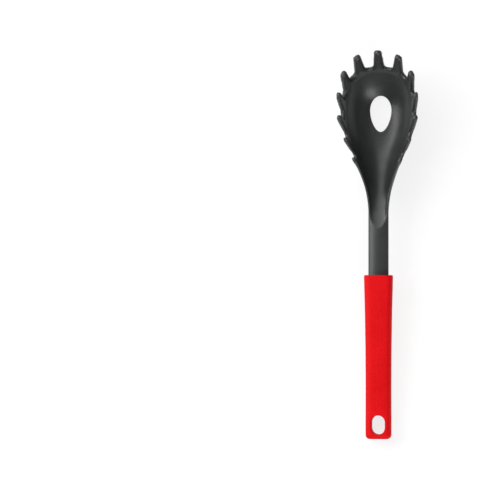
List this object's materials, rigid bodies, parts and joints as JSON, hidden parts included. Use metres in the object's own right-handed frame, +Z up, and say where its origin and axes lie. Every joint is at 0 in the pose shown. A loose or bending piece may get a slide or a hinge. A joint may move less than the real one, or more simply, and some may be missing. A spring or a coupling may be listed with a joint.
{
  "type": "pasta server",
  "caption": "Toothed nylon pasta server with an egg-shaped drain hole, a gooseneck stem and a soft red grip with a hanging slot.",
  "frame": {"origin": "under the middle of the tool, on the surface that it lies on face up", "axes": "+Y along the tool from the handle to the bowl, +Z up, the way the teeth point, +X to the right"},
  "size_m": [0.0692, 0.3285, 0.0486],
  "materials": {
    "black_nylon": "fine satin, as moulded",
    "red_core": "plain moulded, hidden in the grip",
    "red_grip": "soft satin with a field of fine dots"
  },
  "bodies": {
    "root": {"head": "black_nylon", "handle_core": "red_core", "grip": "red_grip"}
  },
  "joints": []
}
